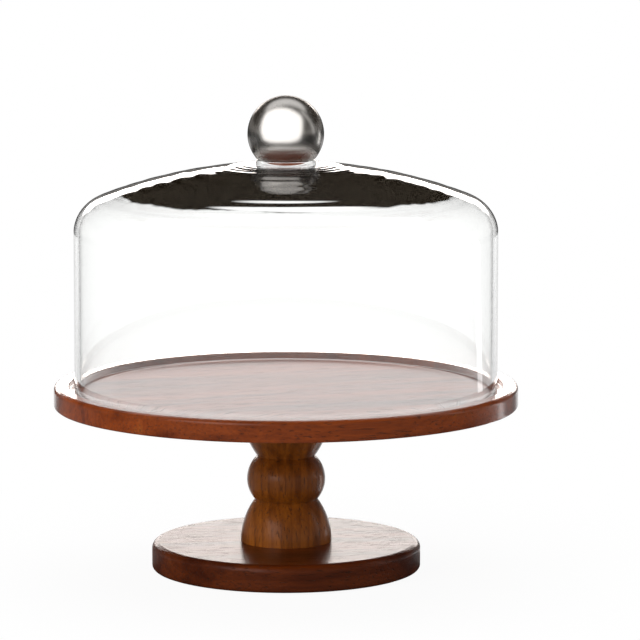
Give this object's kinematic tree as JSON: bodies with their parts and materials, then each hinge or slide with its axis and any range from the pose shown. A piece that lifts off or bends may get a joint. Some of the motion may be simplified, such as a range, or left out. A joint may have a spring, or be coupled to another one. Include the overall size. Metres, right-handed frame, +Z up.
{
  "type": "cheese dome",
  "caption": "Clear glass dome with a steel ball knob that lifts off a footed wooden stand, whose round plate has a shallow well for the glass.",
  "frame": {"origin": "on the ground under the axis of plate, column and dome", "axes": "+Z up along the turning axis; -Y is the side that is looked at, +X is to its right"},
  "size_m": [0.305, 0.305, 0.3133],
  "materials": {
    "plate_wood": "oiled acacia, satin",
    "column_wood": "oiled acacia, satin, turned",
    "base_wood": "oiled acacia, satin",
    "dowel_wood": "plain beech",
    "clear_glass": "clear, blown",
    "clear_bond": "clear set adhesive",
    "knob_steel": "satin polished",
    "zinc_steel": "zinc plated",
    "brass": "turned",
    "pad_rubber": "matt"
  },
  "bodies": {
    "stand": {"plate_board_1": "plate_wood", "plate_board_2": "plate_wood", "plate_board_3": "plate_wood", "plate_board_4": "plate_wood", "plate_board_5": "plate_wood", "plate_board_6": "plate_wood", "column_left": "column_wood", "column_right": "column_wood", "base_board_front": "base_wood", "base_board_back": "base_wood", "plate_insert": "brass", "column_stud": "zinc_steel", "base_screw": "zinc_steel", "base_washer": "zinc_steel", "dowel_front": "dowel_wood", "dowel_back": "dowel_wood", "foot_pad_1": "pad_rubber", "foot_pad_2": "pad_rubber", "foot_pad_3": "pad_rubber", "foot_pad_4": "pad_rubber"},
    "dome": {"glass_dome": "clear_glass", "knob_bond": "clear_bond", "knob_lower": "knob_steel", "knob_upper": "knob_steel"}
  },
  "joints": [
    {"name": "dome_lift", "type": "slide", "parent": "stand", "child": "dome", "axis": [0, 0, 1], "range_m": [0, 0.25]}
  ]
}
